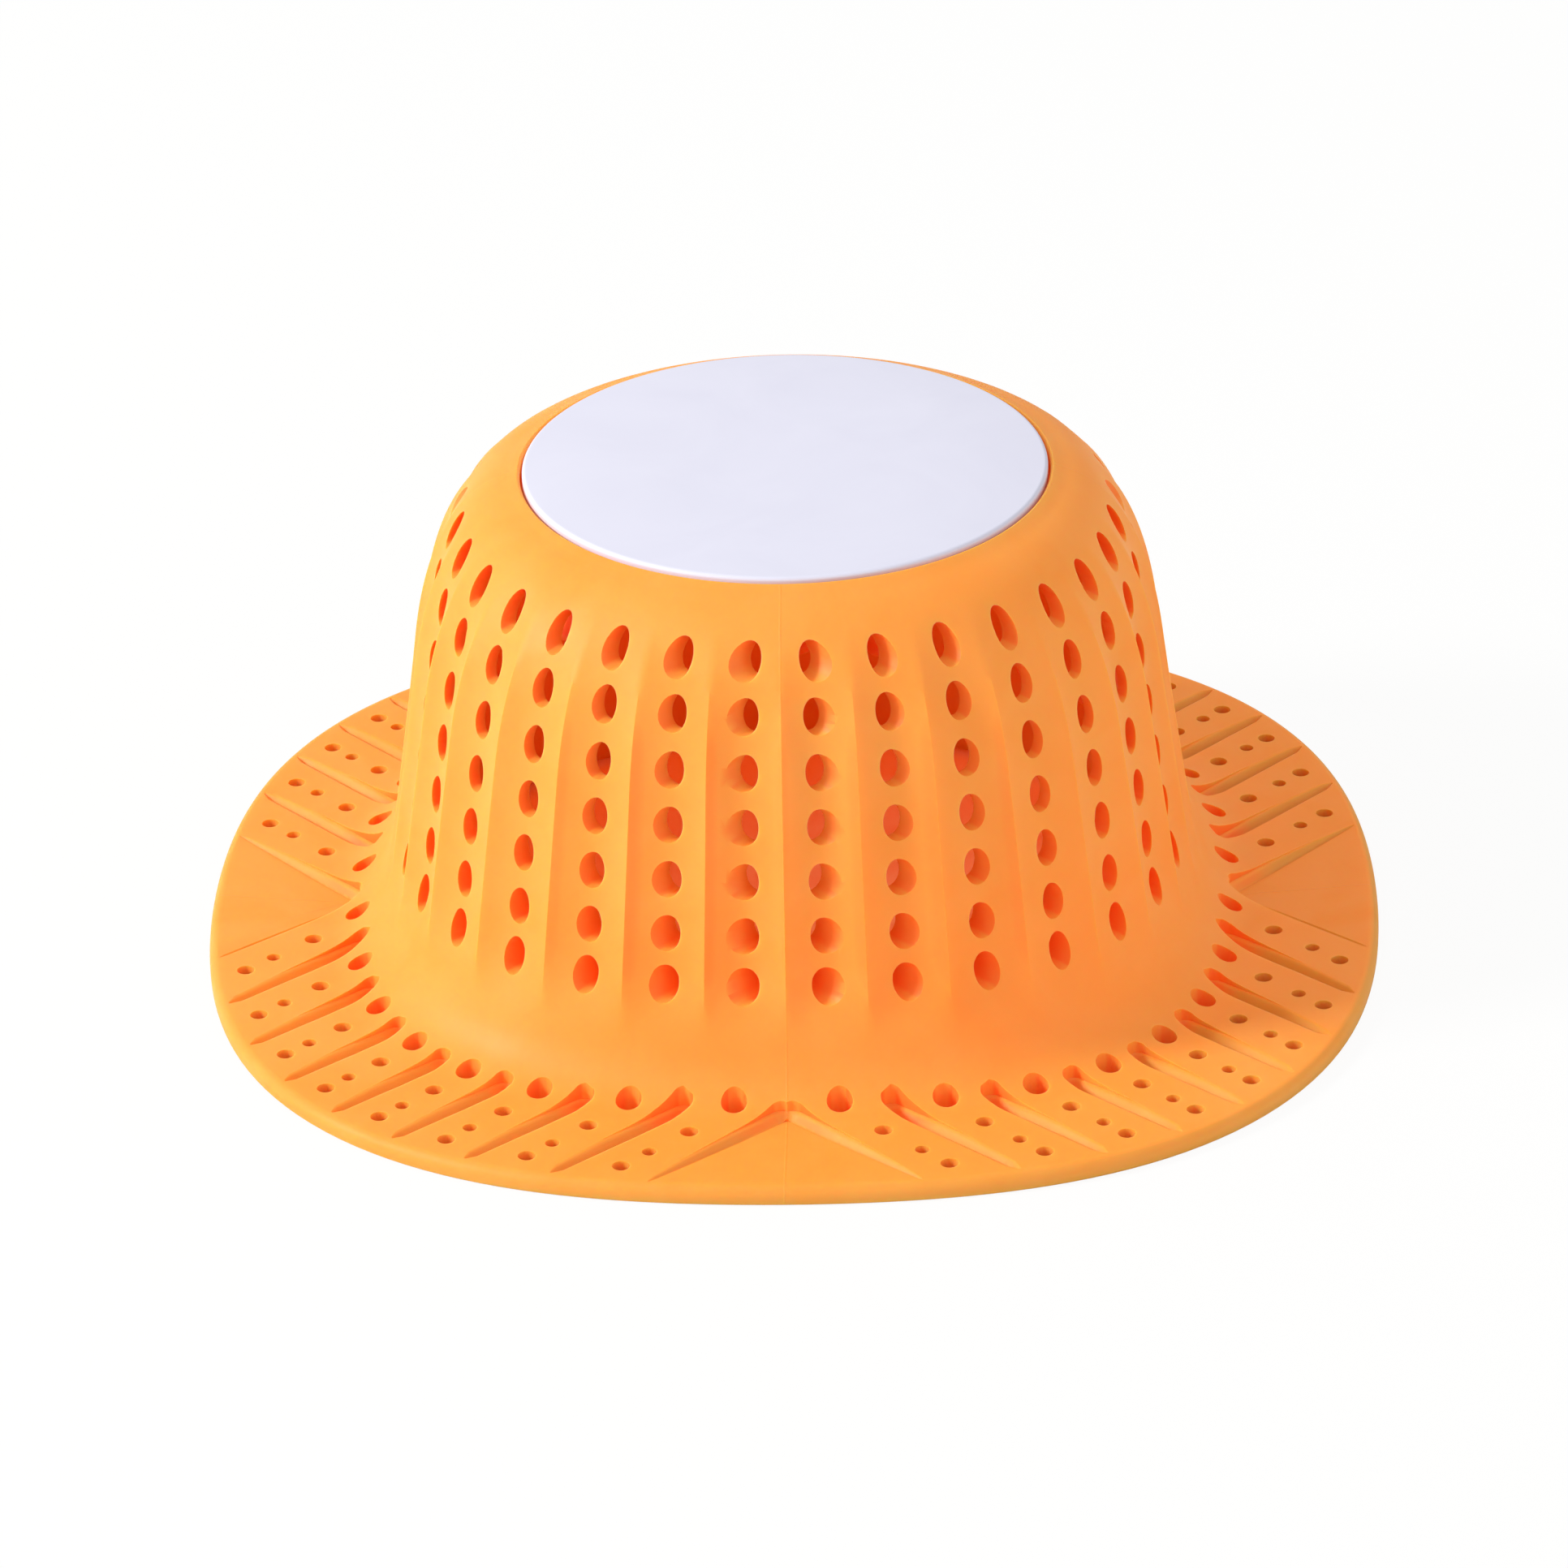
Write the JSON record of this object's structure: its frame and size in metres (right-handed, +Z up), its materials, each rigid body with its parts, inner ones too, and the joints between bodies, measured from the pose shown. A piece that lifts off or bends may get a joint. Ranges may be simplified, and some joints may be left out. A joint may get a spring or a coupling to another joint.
{
  "type": "drain hair catcher",
  "caption": "Soft hat-shaped drain hair catcher: fluted, perforated dome on a thin perforated brim, with a plain weighted cap disc.",
  "frame": {"origin": "centre of the brim's underside, on the dome's axis", "axes": "+Z up along the dome's axis; the flats of the slightly square rim face +-X and +-Y, and the picture looks roughly along +Y"},
  "size_m": [0.143, 0.143, 0.0604],
  "materials": {
    "soft_moulding": "satin soft moulding",
    "white_cap": "fine satin",
    "ballast_steel": "brushed",
    "cup_plastic": "fine satin"
  },
  "bodies": {
    "root": {"strainer_body": "soft_moulding", "cap_disc": "white_cap", "ballast_plate": "ballast_steel", "retaining_cup": "cup_plastic"}
  },
  "joints": []
}
